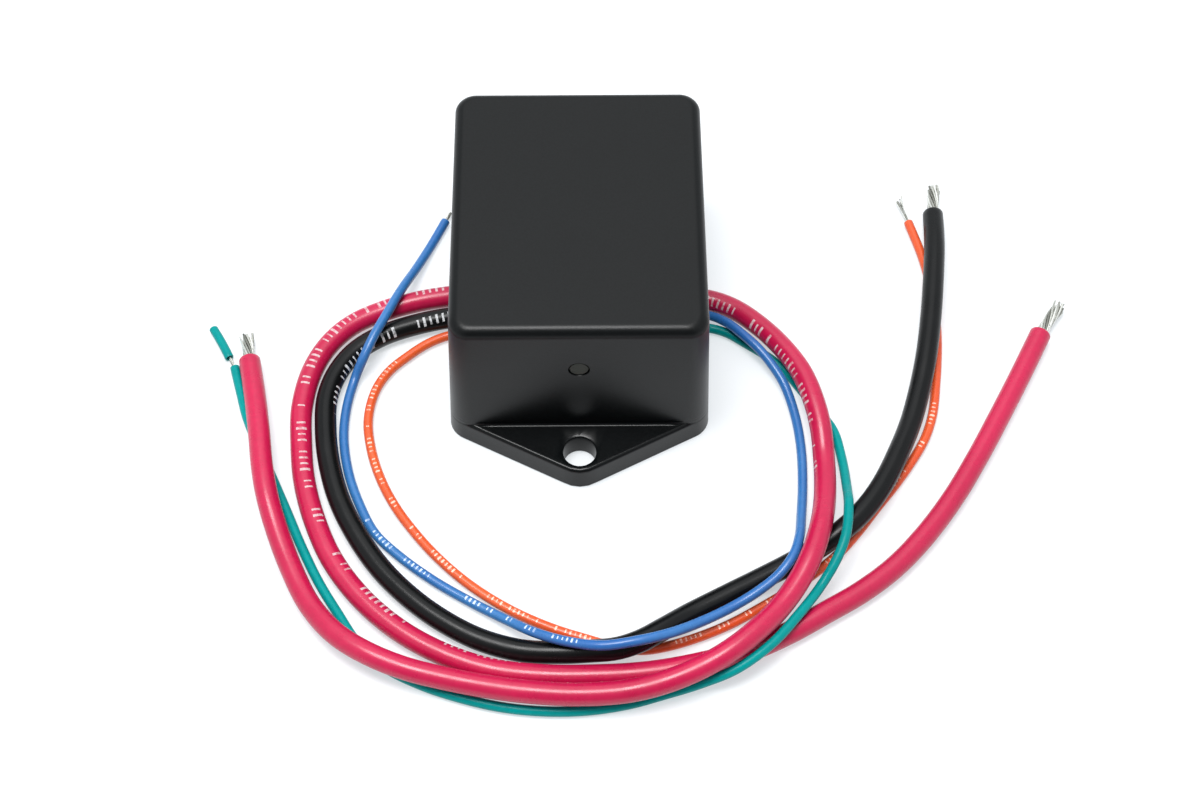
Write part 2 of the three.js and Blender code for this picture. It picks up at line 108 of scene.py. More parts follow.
RED_B = [
    (18.5, 1.9, 3), (23, 1.9, 2.6), (28, 1.5, 2.3), (33, -0.9, 2.5), (38, -5.6, 3.2),
    (42.5, -11.7, 4.2), (46, -18.1, 4.8), (48.1, -24.8, 4.9), (49.3, -31.2, 4.2),
    (49.7, -38.3, 2.8), (49, -48.2, 5), (47.2, -57, 8.1), (45, -63.3, 8.5),
    (42.1, -68.7, 7.8), (38.1, -74.1, 7.3), (33.7, -78.8, 7.9), (28.6, -82.9, 7.8),
    (22.8, -86.1, 7), (16, -88.6, 6), (9, -90.1, 5.3), (0, -90.6, 5), (-9, -90, 4.8),
    (-17.5, -88.7, 4.6), (-26, -86.8, 4.4), (-34, -84.6, 4.6), (-41, -81.6, 4.9),
    (-47.2, -77.2, 4.2), (-52.8, -70.2, 2.6), (-57.2, -61.6, 2.5), (-60.4, -53.7, 3.4),
    (-62.6, -46.9, 4.6), (-64.1, -40.2, 5), (-65.3, -32.5, 4.8), (-66.9, -23.8, 3.6),
    (-69.2, -13, 2.3),
]
BLACK = [
    (-18.5, -2.4, 3), (-23, -2.4, 2.5), (-28, -2.7, 2.3), (-35, -4.4, 2.3), (-41.5, -7, 2.3),
    (-46.8, -10.8, 2.3), (-50.4, -16, 2.3), (-52.3, -22.5, 2.3), (-52.2, -30, 2.3),
    (-51, -38, 2.3), (-48.5, -46.5, 2.3), (-44.6, -54.5, 2.3), (-39.6, -62, 2.3),
    (-33.8, -68.2, 2.3), (-27, -73.6, 2.3), (-19.5, -77.8, 2.3), (-11.5, -80.2, 2.3),
    (-4, -80.7, 2.4), (2, -80.9, 3.4), (7, -81, 4.7), (11.5, -79.5, 4.8), (16, -76.6, 4),
    (21, -73, 2.6), (28, -69.1, 2.3), (35, -65.4, 2.3), (42, -61.7, 2.6), (48.2, -58, 3.2),
    (53, -54.7, 4.4), (57, -50.7, 4.7), (61, -45, 4.7), (65.1, -36.9, 4.2), (68, -30.1, 3.6),
    (70.5, -22.4, 3.8), (72.6, -14.3, 4.4), (74.3, -5.5, 4.8), (75.8, 4.4, 4.9),
    (77.2, 14.9, 4), (78, 24.3, 2.3),
]
BLUE = [
    (18.5, -1.8, 2.6), (23, -1.8, 1.8), (27.5, -2, 1.8), (31.2, -4.7, 3.1), (34.5, -8.3, 3.8),
    (37.5, -11.7, 3.8), (40.2, -15.2, 3), (42.7, -19.6, 2), (44.7, -27.1, 1.1),
    (45.4, -35, 1.1), (45.2, -43, 1.1), (44.3, -51.1, 2.9), (43.2, -57.9, 5.8),
    (41.5, -62.7, 7), (38.6, -66.3, 6.3), (34.6, -69.4, 5.6), (29.6, -72.4, 5),
    (23.5, -75.8, 5.6), (17.5, -79, 7.4), (11, -81.2, 8.6), (4, -81.9, 8), (-2.5, -80.3, 6.4),
    (-8.5, -77.8, 5), (-15, -73.2, 2), (-21.5, -69.2, 1.2), (-29, -64.4, 1.1),
    (-36, -58.9, 1.1), (-41, -53.8, 1.1), (-44.3, -47.5, 1.1), (-47, -40, 1.1),
    (-48.5, -31.5, 1.1), (-48.3, -24, 1.1), (-46.9, -17.4, 1.7), (-45, -14, 4.6),
    (-43, -9.8, 6.2), (-40.6, -4.6, 6.5), (-37.8, 2.4, 5.6), (-35, 10.3, 2.6),
    (-32.2, 17.3, 1.2), (-29.3, 24, 1.1),
]
ORANGE = [
    (-18.5, -6.1, 2.6), (-23, -6.1, 1.6), (-27.5, -6.3, 1.1), (-31.8, -8.2, 1.1),
    (-36.2, -11.6, 1.1), (-40, -15.4, 1.1), (-42.5, -20, 1.1), (-43.7, -27, 1.1),
    (-42.7, -34.4, 1.1), (-40.5, -41.2, 1.1), (-37.4, -47.4, 1.1), (-33.6, -53, 1.1),
    (-29, -58.6, 1.1), (-23.5, -64, 1.1), (-17.5, -68.6, 1.1), (-11.5, -72.2, 1.1),
    (-5, -75.2, 1.1), (1, -77.3, 1.1), (7, -79.1, 1.1), (12, -79.7, 1.1), (17, -78.9, 1.1),
    (23, -77, 1.1), (29, -74.4, 1.1), (35, -71, 1.1), (41, -67.2, 1.1), (46, -63.6, 1.1),
    (51.2, -59.2, 1.1), (55.6, -54.2, 1.1), (59.6, -49, 1.1), (64, -43.4, 1.1),
    (67.8, -38, 1.1), (71, -32.6, 1.1), (73.2, -26.6, 1.1), (74.6, -19, 1.1),
    (75.8, -10, 1.1), (76.2, -3, 1.1), (75.8, 6, 1.1), (74.8, 13.6, 1.1), (72.6, 23, 1.1),
]
GREEN = [
    (18.5, -4.8, 2.6), (23, -4.8, 1.6), (27.5, -4.8, 1.1), (31.2, -6, 1.1), (35, -8.6, 1.1),
    (39, -11.6, 1.1), (42.6, -15, 1.1), (46, -20, 1.1), (49.4, -25.6, 1.1),
    (52.3, -30.5, 1.1), (53.5, -37.1, 1.4), (53.6, -45.3, 4.4), (53.1, -52.4, 8.2),
    (52, -58.9, 8.6), (50, -63.5, 7.2), (46.7, -68.4, 5.2), (42, -74.7, 5.9),
    (36.6, -80.7, 5.9), (29.8, -85.4, 4.8), (23, -87.5, 2.8), (16, -89.1, 1.3),
    (9, -91, 1.1), (1, -92.2, 1.1), (-7, -92.3, 1.1), (-15, -91.4, 1.1), (-23, -89.4, 1.1),
    (-31, -86.5, 1.1), (-38.2, -82.6, 1.1), (-43.2, -77.8, 1.1), (-47.4, -71.4, 1.1),
    (-51.6, -64.5, 1.1), (-55.6, -56.4, 1.1), (-58.7, -49.3, 1.1), (-61.6, -42.8, 1.1),
    (-65.4, -34.4, 1.1), (-68.8, -26.4, 1.1), (-70.4, -21, 1.1), (-72.4, -14, 1.1),
]
SLUG_FROM, SLUG_TO, SLUG_D, SLUG_BORE = (-73.7, -11.7, 1.1), (-77.8, -4.2, 1.1), 1.9, 1.4


SPLINE_STEPS = 16
SHORTEST = 1e-4


def catmull(points, low, spacing):
    """Centripetal spline through the points, never lower than low, in even steps."""
    p = [Vector(q) for q in points]
    m = len(p)
    out = []
    for i in range(m - 1):
        p1, p2 = p[i], p[i + 1]
        p0 = p[i - 1] if i else p1 * 2 - p2
        p3 = p[i + 2] if i + 2 < m else p2 * 2 - p1
        t0 = max((p1 - p0).length ** 0.5, SHORTEST)
        t1 = max((p2 - p1).length ** 0.5, SHORTEST)
        t2 = max((p3 - p2).length ** 0.5, SHORTEST)
        m1 = ((p1 - p0) / t0 - (p2 - p0) / (t0 + t1) + (p2 - p1) / t1) * t1
        m2 = ((p2 - p1) / t1 - (p3 - p1) / (t1 + t2) + (p3 - p2) / t2) * t1
        c2 = p1 * -3 + p2 * 3 - m1 * 2 - m2
        c3 = p1 * 2 - p2 * 2 + m1 + m2
        for k in range(SPLINE_STEPS):
            w = k / SPLINE_STEPS
            out.append(p1 + m1 * w + c2 * w * w + c3 * w ** 3)
    out.append(p[-1].copy())
    for q in out:
        q.z = max(q.z, low)
    return resample(out, spacing)


def resample(points, spacing):
    """The same path in even steps of about this spacing."""
    total = sum((b - a).length for a, b in zip(points, points[1:]))
    n = max(2, round(total / spacing))
    step = total / n
    out = [points[0].copy()]
    need = step
    for a, b in zip(points, points[1:]):
        seg = (b - a).length
        at = 0.0
        while seg - at >= need - 1e-9 and len(out) < n:
            at += need
            out.append(a.lerp(b, at / seg))
            need = step
        need -= seg - at
    out.append(points[-1].copy())
    return out


def frames(path):
    """Forward, side and up vectors at each path point: up stays as near +Z as it can."""
    out = []
    for i, p in enumerate(path):
        a = path[max(i - 1, 0)]
        b = path[min(i + 1, len(path) - 1)]
        t = (b - a).normalized()
        side = t.cross(Vector((0, 0, 1)))
        side = side.normalized() if side.length > 1e-6 else Vector((1, 0, 0))
        out.append((t, side, side.cross(t)))
    return out


def new_object(name, bm, smooth=35):
    """An object made from bm. Edges sharper than smooth degrees stay sharp; 0 marks none."""
    mesh = bpy.data.meshes.new(name)
    bmesh.ops.recalc_face_normals(bm, faces=bm.faces)
    bm.to_mesh(mesh)
    bm.free()
    mesh.shade_smooth()
    if smooth:
        mesh.set_sharp_from_angle(angle=math.radians(smooth))
    o = bpy.data.objects.new(name, mesh)
    SCENE.collection.objects.link(o)
    return o


# Millimetres along a tube for each unit of U in its "lay" coordinates
UV_SPAN = 100.0


def add_tube(bm, rings, sides, uv):
    """Adds a closed tube to bm in metres.

    rings: (centre, side, up, radius, along) in mm. U is along, and V is the turn."""
    rows = []
    for centre, side, up, r, along in rings:
        row = []
        for k in range(sides):
            a = 2 * math.pi * k / sides
            p = centre + side * (r * math.cos(a)) + up * (r * math.sin(a))
            row.append(bm.verts.new(p * MM))
        rows.append((row, along))
    for (r0, u0), (r1, u1) in zip(rows, rows[1:]):
        for k in range(sides):
            j = (k + 1) % sides
            f = bm.faces.new((r0[k], r0[j], r1[j], r1[k]))
            corners = ((u0, k), (u0, k + 1), (u1, k + 1), (u1, k))
            for loop, (along, turn) in zip(f.loops, corners):
                loop[uv].uv = (along / UV_SPAN, turn / sides)
    bm.faces.new(list(reversed(rows[0][0])))
    bm.faces.new(rows[-1][0])


def is_thick(d):
    return d == THICK_D


# ---------------------------------------------------------------- materials
def srgb(h):
    """The linear colour of a six-digit hex colour."""
    out = []
    for k in (16, 8, 0):
        c = ((h >> k) & 255) / 255
        out.append(c / 12.92 if c <= 0.04045 else ((c + 0.055) / 1.055) ** 2.4)
    return (*out, 1.0)


class Mat:
    """A Principled material with noise-driven colour, roughness and bump."""

    def __init__(self, name, color, rough=0.5, metal=0.0, spec=0.5):
        self.m = bpy.data.materials.new(name)
        self.m.use_nodes = True
        self.t = self.m.node_tree
        self.b = self.t.nodes["Principled BSDF"]
        self.color = color
        self.set("Base Color", color)
        self.set("Roughness", rough)
        self.set("Metallic", metal)
        self.set("Specular IOR Level", spec)
        self.m.diffuse_color = color
        self.coord = self.node("ShaderNodeTexCoord").outputs["Object"]
        self.col = None
        self.normal = None

    def node(self, kind, **props):
        n = self.t.nodes.new(kind)
        for k, v in props.items():
            setattr(n, k, v)
        return n

    def set(self, socket, value):
        self.b.inputs[socket].default_value = value

    def link(self, a, b):
        self.t.links.new(a, b)

    def noise(self, scale, detail=3.0, rough=0.5):
        n = self.node("ShaderNodeTexNoise")
        n.inputs["Scale"].default_value = scale
        n.inputs["Detail"].default_value = detail
        n.inputs["Roughness"].default_value = rough
        self.link(self.coord, n.inputs["Vector"])
        return n.outputs["Fac"]

    def ramp(self, fac, stops):
        r = self.node("ShaderNodeValToRGB")
        e = r.color_ramp.elements
        while len(e) < len(stops):
            e.new(0.5)
        for el, (pos, col) in zip(e, stops):
            el.position = pos
            el.color = col
        self.link(fac, r.inputs["Fac"])
        return r.outputs["Color"]

    def grey(self, fac, lo, hi, a=0.3, b=0.7):
        """Grey lo where fac is a or less, and hi where it is b or more."""
        return self.ramp(fac, [(a, (lo, lo, lo, 1)), (b, (hi, hi, hi, 1))])

    def mix(self, fac, a, b, mode="MIX"):
        n = self.node("ShaderNodeMix", data_type="RGBA", blend_type=mode)
        if isinstance(fac, float):
            n.inputs["Factor"].default_value = fac
        else:
            self.link(fac, n.inputs["Factor"])
        for sock, v in ((n.inputs["A"], a), (n.inputs["B"], b)):
            if isinstance(v, tuple):
                sock.default_value = v
            else:
                self.link(v, sock)
        return n.outputs["Result"]

    def math(self, op, a, b=0.0):
        n = self.node("ShaderNodeMath", operation=op)
        for sock, v in zip(n.inputs, (a, b)):
            if isinstance(v, (int, float)):
                sock.default_value = v
            else:
                self.link(v, sock)
        return n.outputs[0]

    def ease(self, value, start, end):
        """0 up to start, 1 from end on, and smooth between."""
        n = self.node("ShaderNodeMapRange", interpolation_type="SMOOTHSTEP")
        n.inputs["From Min"].default_value = start
        n.inputs["From Max"].default_value = end
        self.link(value, n.inputs["Value"])
        return n.outputs["Result"]

    def vary(self, scale, amount, detail=3.0):
        """Multiplies the colour by noise of this scale."""
        base = self.col if self.col is not None else self.color
        g = self.grey(self.noise(scale, detail), 1 - amount, 1 + amount)
        self.col = self.mix(1.0, base, g, "MULTIPLY")
        self.link(self.col, self.b.inputs["Base Color"])

    def rough_noise(self, scale, lo, hi):
        """Roughness that drifts between lo and hi."""
        self.link(self.grey(self.noise(scale, 4.0), lo, hi), self.b.inputs["Roughness"])

    def bump(self, height, distance, strength):
        """Adds a bump of this distance, in metres, to those already on the surface."""
        n = self.node("ShaderNodeBump")
        n.inputs["Strength"].default_value = strength
        n.inputs["Distance"].default_value = distance
        self.link(height, n.inputs["Height"])
        if self.normal is not None:
            self.link(self.normal, n.inputs["Normal"])
        self.normal = n.outputs["Normal"]
        self.link(self.normal, self.b.inputs["Normal"])


# Noise scale of the moulded grain
GRAIN = 2600
# The ear is smooth and the box grained. The grain fades in over these millimetres above
# the ear's top, and over these millimetres in from the wall's foot
GRAIN_ABOVE_EAR = (0.2, 1.6)
GRAIN_INSIDE_WALL = (-0.3, 2.5)


def case_material():
    """Black moulded plastic with a fine eroded grain.

    The gate mark is paler and more matt, and the ears are smoother than the box."""
    m = Mat("case_plastic", srgb(0x080A0B), rough=0.33, spec=0.225)
    m.vary(45, 0.08)
    m.vary(GRAIN, 0.3, 2.0)
    away = m.node("ShaderNodeVectorMath", operation="DISTANCE")
    m.link(m.coord, away.inputs[0])
    away.inputs[1].default_value = MARK_PLACE
    in_mark = m.math("LESS_THAN", away.outputs["Value"], MARK_D / 2 * MM)
    m.col = m.mix(in_mark, m.col, srgb(0x2E302A))
    m.link(m.col, m.b.inputs["Base Color"])
    split = m.node("ShaderNodeSeparateXYZ")
    m.link(m.coord, split.inputs["Vector"])
    out = m.math("ABSOLUTE", split.outputs["Y"])
    above = m.ease(split.outputs["Z"], *((EAR_T + h) * MM for h in GRAIN_ABOVE_EAR))
    within = m.ease(out, *((BOX_Y / 2 - h) * MM for h in GRAIN_INSIDE_WALL))
    on_box = m.math("MAXIMUM", above, within)
    box_rough = m.grey(m.noise(70, 2.0), 0.315, 0.345)
    ear_rough = m.grey(m.noise(70, 2.0), 0.18, 0.21)
    rough = m.mix(on_box, ear_rough, box_rough)
    mark_rough = (0.5, 0.5, 0.5, 1)
    m.link(m.mix(in_mark, rough, mark_rough), m.b.inputs["Roughness"])
    m.bump(m.noise(GRAIN, 2.0, 0.6), 0.000009, 0.9)
    m.bump(m.noise(260, 2.0), 0.00002, 0.25)
    return m.m


# Bars are spaced by this share of the lead's diameter, and come in groups of BAR_GROUP
THICK_BAR_PITCH, THIN_BAR_PITCH = 0.31, 0.5
BAR_GROUP = 3.0
# Share of bars and of groups that are left out
BAR_GAP, GROUP_GAP = 0.2, 0.28
# Least and extra half-width of a bar, as a share of its pitch, and half-length, as a turn
BAR_WIDE, BAR_WIDER = 0.09, 0.14
BAR_LONG, BAR_LONGER = 0.045, 0.04
INK_COVER = 0.85


def wire_material(name, base, dark, ink, d, marks, rough=0.28, spec=0.5):
    """Extruded insulation with a soft drift of colour, rub marks and plain inked bars.

    marks: first and last distance along the lead in mm, the angle of the inked line
    round the lead at distance 0 in degrees, and its turn in degrees per mm."""
    m = Mat(name, base, rough=rough, spec=spec)
    m.col = m.mix(m.grey(m.noise(40, 3.0), 0.0, 0.8, 0.4, 0.8), base, dark)
    m.vary(900, 0.05)
    uv = m.node("ShaderNodeUVMap", uv_map="lay").outputs["UV"]
    sep = m.node("ShaderNodeSeparateXYZ")
    m.link(uv, sep.inputs["Vector"])
    s, v = m.math("MULTIPLY", sep.outputs["X"], UV_SPAN), sep.outputs["Y"]
    first, last, angle, turn = marks
    pitch = (THICK_BAR_PITCH if is_thick(d) else THIN_BAR_PITCH) * d
    cell = m.math("DIVIDE", s, pitch)
    part = m.math("FRACT", cell)
    pick = m.node("ShaderNodeTexWhiteNoise", noise_dimensions="1D")
    m.link(m.math("FLOOR", cell), pick.inputs["W"])
    pick = pick.outputs["Value"]
    group = m.node("ShaderNodeTexWhiteNoise", noise_dimensions="1D")
    m.link(m.math("FLOOR", m.math("DIVIDE", cell, BAR_GROUP)), group.inputs["W"])
    # turns from the inked line, between -0.5 and 0.5
    line = m.math("ADD", m.math("MULTIPLY", s, turn / 360), angle / 360)
    off = m.math("ADD", m.math("SUBTRACT", v, line), 0.5)
    off = m.math("SUBTRACT", m.math("FRACT", off), 0.5)
    # bars across the lead, of uneven length, in broken groups
    reach = m.math("ADD", m.math("MULTIPLY", pick, BAR_LONGER), BAR_LONG)
    wide = m.math("ADD", m.math("MULTIPLY", pick, BAR_WIDER), BAR_WIDE)
    from_middle = m.math("ABSOLUTE", m.math("SUBTRACT", part, 0.5))
    bar = m.math("LESS_THAN", from_middle, wide)
    bar = m.math("MULTIPLY", bar, m.math("GREATER_THAN", pick, BAR_GAP))
    on = m.math("MULTIPLY", bar, m.math("LESS_THAN", m.math("ABSOLUTE", off), reach))
    on = m.math("MULTIPLY", on, m.math("GREATER_THAN", group.outputs["Value"], GROUP_GAP))
    worn = m.grey(m.noise(1300, 2.0), 0.4, 1.0, 0.36, 0.5)
    span = m.math("MULTIPLY", m.math("GREATER_THAN", s, first), m.math("LESS_THAN", s, last))
    on = m.math("MULTIPLY", m.math("MULTIPLY", on, worn), span)
    on = m.math("MULTIPLY", on, INK_COVER)
    m.col = m.mix(on, m.col, ink)
    scuff = m.noise(300, 3.0, 0.7)
    scuff = m.ramp(scuff, [(0.68, (0, 0, 0, 1)), (0.76, (0.4, 0.4, 0.4, 1))])
    m.col = m.mix(scuff, m.col, dark)
    m.link(m.col, m.b.inputs["Base Color"])
    m.rough_noise(260, rough - 0.04, rough + 0.08)
    m.bump(m.noise(260, 2.0), 0.00003, 0.2)
    m.bump(m.noise(2600, 2.0), 0.000005, 0.9)
    return m.m


def strand_material():
    """Tinned wires, each painted a little brighter or duller than its neighbours: painted
    highlight and shade in place of the bright and dark lines that reflections draw between
    strands.
    """
    m = Mat("tinned_copper", srgb(0xC4C4BC), rough=0.22, metal=1.0)
    uv = m.node("ShaderNodeUVMap", uv_map="lay").outputs["UV"]
    sep = m.node("ShaderNodeSeparateXYZ")
    m.link(uv, sep.inputs["Vector"])
    # painted highlight and shade: duller and brighter strands stand in for the reflection lines
    # between strands
    painted_light_shades = [(0.1, srgb(0x8A8A82)), (0.5, srgb(0xD6D6CE)), (0.8, srgb(0xF4F4EE))]
    m.col = m.ramp(sep.outputs["X"], painted_light_shades)
    m.vary(900, 0.12)
    m.rough_noise(1500, 0.16, 0.34)
    m.bump(m.noise(3000, 2.0), 0.00001, 0.4)
    return m.m


def simple_material(name, color, rough, metal=0.0, fine=900, coarse=120, bump=0.00003, vary=0.08):
    """A plain material: drift of colour at two noise scales, and a fine bump in metres."""
    m = Mat(name, color, rough, metal)
    m.vary(coarse, vary)
    m.vary(fine, vary * 0.6)
    m.rough_noise(coarse * 1.5, max(rough - 0.08, 0.05), rough + 0.1)
    m.bump(m.noise(fine, 3.0), bump, 0.5)
    return m.m


def board_material():
    """Green board with a faint pattern of pale tracks."""
    green = srgb(0x1F5B3A)
    m = Mat("board", green, 0.4)
    w = m.node("ShaderNodeTexBrick")
    w.inputs["Scale"].default_value = 260
    w.inputs["Mortar Size"].default_value = 0.06
    w.inputs["Color1"].default_value = green
    w.inputs["Color2"].default_value = srgb(0x256845)
    w.inputs["Mortar"].default_value = srgb(0x3F8A5E)
    m.link(m.coord, w.inputs["Vector"])
    m.col = w.outputs["Color"]
    m.vary(300, 0.08)
    m.bump(m.noise(800, 2.0), 0.00002, 0.4)
    return m.m


RED, DARK_RED, RED_INK = srgb(0xBC1546), srgb(0xA60D3A), srgb(0xCDBBBC)
MATS = {
    "case_plastic": case_material(),
    "potting": simple_material(
        "potting", srgb(0x17181A), 0.16, fine=500, coarse=60, bump=0.00004, vary=0.1),
    "board": board_material(),
    "varistor_coat": simple_material("varistor_coat", srgb(0x2B56A8), 0.35),
    "light_plastic": simple_material("light_plastic", srgb(0xD9D6CC), 0.45),
    "dark_plastic": simple_material("dark_plastic", srgb(0x26282A), 0.5),
    "ceramic_body": simple_material("ceramic_body", srgb(0xE7E2D6), 0.4),
    "ferrite": simple_material(
        "ferrite", srgb(0x3B3D3C), 0.6, 0.1, fine=1200, coarse=200, bump=0.00006, vary=0.15),
    "brass_tab": simple_material("brass_tab", srgb(0xB8924A), 0.3, 1.0),
    "red_wire": wire_material(
        "red_wire", RED, DARK_RED, RED_INK, THICK_D, (10, 140, 52, 0.78)),
    "red_wire_b": wire_material(
        "red_wire_b", RED, DARK_RED, RED_INK, THICK_D, (8, 62, 58, -0.75)),
    "black_wire": wire_material(
        "black_wire", srgb(0x0C0D0E), srgb(0x070809), srgb(0xD5D6D8),
        THICK_D, (6, 48, 100, 1.4), spec=0.24),
    "blue_wire": wire_material(
        "blue_wire", srgb(0x3470AC), srgb(0x1C549E), srgb(0xD5E2F2),
        THIN_D, (116, 180, 90, 0.0)),
    "orange_wire": wire_material(
        "orange_wire", srgb(0xDC5A2C), srgb(0xD0401A), srgb(0xFBD0BC),
        THIN_D, (22, 210, 84, 0.05)),
    # a stretch from 0 to 0: this lead carries no bars
    "green_wire": wire_material(
        "green_wire", srgb(0x008E8C), srgb(0x007674), srgb(0x9AD3CA),
        THIN_D, (0, 0, 0, 0.0), spec=0.14),
    "tinned_copper": strand_material(),
}


def finish_piece(o, slot, *nodes, look=None):
    """Gives o its material (look, or that of its slot), hangs it on the root body, and hides the
    nodes it replaces.
    """
    o.data.materials.clear()
    o.data.materials.append(MATS[look or slot])
    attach(o, "root")
    if nodes:
        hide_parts(*nodes)
    return o


# ---------------------------------------------------------------- leads
# Distance of a path's lowest points from the floor, beyond the lead's own radius
CLEAR_OF_FLOOR = 0.03
# Distance between rings along the insulation, and the room that the bore leaves the strands
THICK_STEP, THIN_STEP = 1.3, 0.9
THICK_SLACK, THIN_SLACK = 0.16, 0.12
THICK_SIDES, THIN_SIDES = 22, 14
BORE_DEPTH = 2.3
# Small bevel at the mouth of a bore
BORE_BEVEL = 0.05


def lead_insulation(name, route, d, core):
    """One lead's insulation as a closed tube with a bore in its cut end, and its path."""
    thick = is_thick(d)
    path = catmull(route, d / 2 + CLEAR_OF_FLOOR, THICK_STEP if thick else THIN_STEP)
    fr = frames(path)
    bm = bmesh.new()
    uv = bm.loops.layers.uv.new("lay")
    r = d / 2
    rings = []
    along = 0.0
    for i, p in enumerate(path):
        if i:
            along += (p - path[i - 1]).length
        rings.append((p, fr[i][1], fr[i][2], r, along))
    # cut end: a small round, the annular face, then the bore
    t, s, u = fr[-1]
    end = path[-1]
    rings[-1] = (end - t * (0.12 * r), s, u, r, along)
    rings.append((end - t * (0.04 * r), s, u, r * 0.965, along))
    rings.append((end, s, u, r * 0.92, along))
    bore = core / 2 + (THICK_SLACK if thick else THIN_SLACK)
    rings.append((end, s, u, bore + BORE_BEVEL, along))
    rings.append((end - t * 0.06, s, u, bore, along))
    rings.append((end - t * BORE_DEPTH, s, u, bore, along))
    add_tube(bm, rings, THICK_SIDES if thick else THIN_SIDES, uv)
    return new_object(name, bm, 40), path


# Points along a strand
STRAND_STEPS = 14
# Distance between layers of strands, in strand diameters, and the turn between them
LAYER_GAP, LAYER_TURN = 0.98, 0.3
# A strand is cut shorter than the longest by up to this share
CUT_SHORT = 0.14
# A very frayed end is one with this much fray or more; its strands part sooner
VERY_FRAYED = 1
STRANDS_PART, FRAYED_PART = 0.45, 0.2
# Least height of a strand over the floor, beyond its own radius
STRAND_CLEAR = 0.02
STRAND_SEED = 11
# How far inside the bore the strands start, and how much of the core they fill
STRAND_INSIDE = 2.0
STRAND_FILL = 0.92
GOLDEN = 0.618


def strand_paths(start, direction, tip, strand, layers, turns, fray, seed):
    """Centre lines of twisted strands from inside the bore to the frayed tip."""
    rng = random.Random(seed)
    start, tip = Vector(start), Vector(tip)
    length = (tip - start).length
    mid = start + direction * (length * 0.5)
    t_end = (tip - mid).normalized()
    part_at = STRANDS_PART if fray < VERY_FRAYED else FRAYED_PART
    spots = [(0.0, 0.0)]
    for layer in range(1, layers + 1):
        n = 6 * layer
        for k in range(n):
            turn = 2 * math.pi * k / n + LAYER_TURN * layer
            spots.append((layer * strand * LAYER_GAP, turn))
    out = []
    for rad, ang in spots:
        cut_at = 1.0 - rng.random() * CUT_SHORT
        wild = rng.uniform(0.0, 1.0) ** 3 * min(fray, 0.8)
        wild_way = rng.uniform(0, 2 * math.pi)
        pts = []
        for k in range(STRAND_STEPS + 1):
            w = k / STRAND_STEPS * cut_at
            base = start * (1 - w) ** 2 + mid * (2 * w * (1 - w)) + tip * w ** 2
            t = (direction * (1 - w) + t_end * w).normalized()
            side = t.cross(Vector((0, 0, 1))).normalized()
            up = side.cross(t)
            a = ang + turns * 2 * math.pi * w
            spread = 1.0 + max(0.0, w - part_at) * fray * 0.9
            r = rad * spread
            flatten = 1.0 - 0.3 * fray * w
            p = base + side * (r * math.cos(a)) + up * (r * math.sin(a) * flatten)
            loose = max(0.0, w - 0.5) ** 2 * wild * 6.0
            p += side * (math.cos(wild_way) * loose) + up * (math.sin(wild_way) * loose * 0.5)
            p.z = max(p.z, strand / 2 + STRAND_CLEAR)
            pts.append(p)
        out.append(pts)
    return out


def strand_bundle(name, paths, strand):
    """One closed tube for each strand. U picks the strand's painted highlight or shade, the same
    all along it.
    """
    bm = bmesh.new()
    uv = bm.loops.layers.uv.new("lay")
    for i, pts in enumerate(paths):
        shade = (i * GOLDEN) % 1 * UV_SPAN
        rings = [(p, f[1], f[2], strand / 2, shade) for p, f in zip(pts, frames(pts))]
        add_tube(bm, rings, 8, uv)
    return new_object(name, bm, 50)


LEADS = [
    # name, slot, diameter, route, tip of the strands, layers, turns of twist, fray
    ("red_lead_a", "red_wire", THICK_D, RED_A, (103.4, 0.4, 1.6), 2, 0.55, 0.35),
    ("red_lead_b", "red_wire", THICK_D, RED_B, (-70.3, -6.4, 1.6), 2, 0.35, 0.4),
    ("black_lead", "black_wire", THICK_D, BLACK, (79.2, 32.4, 1.6), 2, 0.45, 0.5),
    ("blue_lead", "blue_wire", THIN_D, BLUE, (-28.2, 26.6, 0.8), 1, 0.6, 0.3),
    ("orange_lead", "orange_wire", THIN_D, ORANGE, (70.6, 30.2, 0.6), 1, 0.15, 2.0),
    ("green_lead", "green_wire", THIN_D, GREEN, (-74.6, -10.1, 1.1), 1, 0.5, 0.1),
]


def make_slug():
    """The slipped length of green insulation: a sleeve, open at its first end."""
    a, b = Vector(SLUG_FROM), Vector(SLUG_TO)
    t = (b - a).normalized()
    side = t.cross(Vector((0, 0, 1))).normalized()
    up = side.cross(t)
    bm = bmesh.new()
    uv = bm.loops.layers.uv.new("lay")
    r, bore = SLUG_D / 2, SLUG_BORE / 2 - 0.15
    length = (b - a).length
    rings = [(a + t * 2.4, side, up, bore, 0), (a + t * 0.05, side, up, bore, 0)]
    rings += [(a, side, up, bore + BORE_BEVEL, 0), (a, side, up, r * 0.92, 0)]
    steps = 8
    for k in range(steps + 1):
        w = 0.02 + 0.96 * k / steps
        sway = math.sin(w * math.pi) * 0.12
        rings.append((a.lerp(b, w) + side * sway, side, up, r, w * length))
    rings += [(b, side, up, r * 0.9, length), (b, side, up, r * 0.35, length)]
    add_tube(bm, rings, THIN_SIDES, uv)
    return finish_piece(new_object("green_slug", bm, 40), "green_wire", "green_insulation_slug")


def make_leads():
    slug = make_slug()
    for i, (name, slot, d, route, tip, layers, turns, fray) in enumerate(LEADS):
        core = THICK_CORE if is_thick(d) else THIN_CORE
        o, path = lead_insulation(name + "_skin", route, d, core)
        finish_piece(o, slot, name, look="red_wire_b" if name == "red_lead_b" else None)
        direction = (path[-1] - path[-2]).normalized()
        strand = core / (2 * layers + 1) * STRAND_FILL
        start = path[-1] - direction * STRAND_INSIDE
        seed = STRAND_SEED + i
        lines = strand_paths(start, direction, tip, strand, layers, turns, fray, seed)
        bare = strand_bundle(name + "_bare_strands", lines, strand)
        finish_piece(bare, "tinned_copper", name + "_strands")


make_leads()

# ---------------------------------------------------------------- housing
CORNER_STEPS = 14
EDGE_STEPS = 24
ROUND_STEPS, TOP_STEPS = 8, 14
